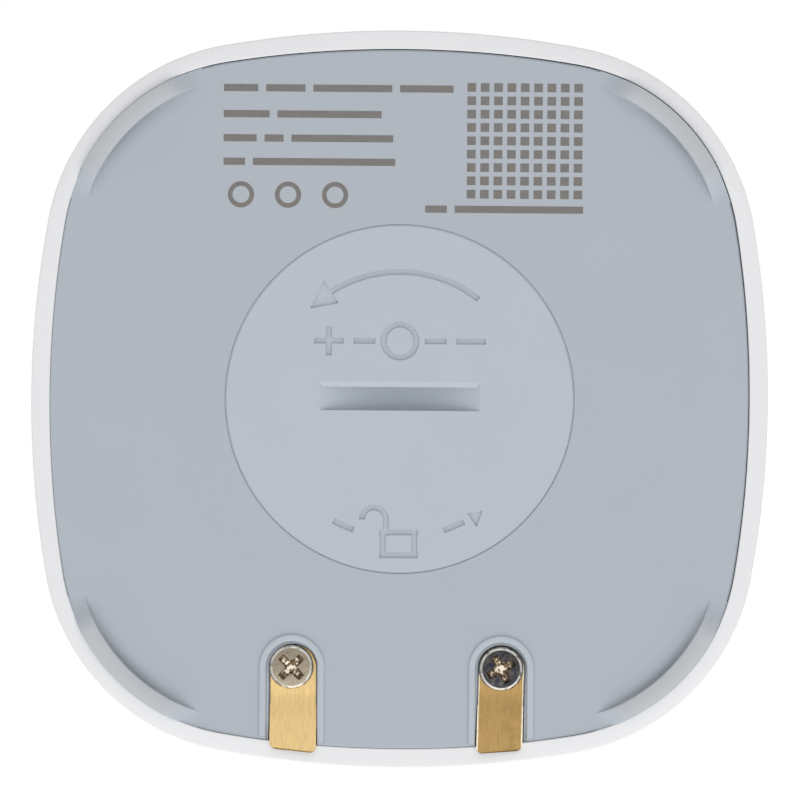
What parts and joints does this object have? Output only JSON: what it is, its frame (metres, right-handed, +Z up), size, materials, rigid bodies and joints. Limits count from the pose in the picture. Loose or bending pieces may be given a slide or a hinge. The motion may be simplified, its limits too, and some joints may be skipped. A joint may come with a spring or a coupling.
{
  "type": "water leak sensor",
  "caption": "Palm-sized rounded-square floor sensor with a white cover, a grey base on corner feet, brass water contacts held by screws and a round coin-slot battery door.",
  "frame": {"origin": "on the floor under the centre of the body", "axes": "+Z up when the sensor stands on its feet, -Y towards the edge with the water contacts, +X to the right seen from that edge"},
  "size_m": [0.058, 0.058, 0.016],
  "materials": {
    "cover_white": "fine moulded grain",
    "base_grey": "fine moulded grain",
    "door_grey": "fine moulded grain",
    "seal_rubber": "matt",
    "contact_brass": "brushed along its length",
    "screw_nickel": "nickel plated",
    "post_brass": "turned",
    "cell_steel": "nickel plated",
    "cell_filler": "pressed powder",
    "cell_ring": "translucent",
    "spring_steel": "plated spring sheet",
    "board_green": "solder resist",
    "board_screw_steel": "zinc plated",
    "module_blue": "solder resist",
    "shield_tin": "tin plated",
    "chip_black": "moulded",
    "parts_tan": "fired",
    "aerial_metal": "tin plated",
    "loop_copper": "etched",
    "sounder_brass": "rolled",
    "sounder_white": "fired",
    "lamp_cream": "clear lens",
    "window_clear": "polished",
    "switch_black": "moulded",
    "button_cream": "moulded"
  },
  "bodies": {
    "housing": {"top_cover": "cover_white", "bottom_cover": "base_grey", "housing_seal": "seal_rubber", "left_contact": "contact_brass", "right_contact": "contact_brass", "left_contact_screw": "screw_nickel", "right_contact_screw": "screw_nickel", "left_probe_post": "post_brass", "right_probe_post": "post_brass", "cell_can": "cell_steel", "cell_cap": "cell_steel", "cell_gasket": "cell_ring", "cell_core": "cell_filler", "negative_spring": "spring_steel", "positive_spring": "spring_steel", "main_board": "board_green", "board_screws": "board_screw_steel", "radio_board": "module_blue", "radio_shield": "shield_tin", "controller_chip": "chip_black", "board_parts": "parts_tan", "antenna_strip": "aerial_metal", "nfc_loop": "loop_copper", "buzzer_plate": "sounder_brass", "buzzer_ceramic": "sounder_white", "buzzer_springs": "spring_steel", "status_led": "lamp_cream", "light_pipe": "window_clear", "reset_switch": "switch_black"},
    "door": {"battery_door": "door_grey", "door_seal": "seal_rubber"},
    "reset": {"reset_button": "button_cream"}
  },
  "joints": [
    {"name": "door_turn", "type": "hinge", "parent": "housing", "child": "door", "pos_m": [0, 0, 0.0017], "axis": [0, 0, -1], "range_deg": [0, 40]},
    {"name": "reset_press", "type": "slide", "parent": "housing", "child": "reset", "axis": [0, 0, 1], "range_m": [0, 0.0002], "stiffness_N_per_m": 800, "springref_m": -0.0005}
  ]
}
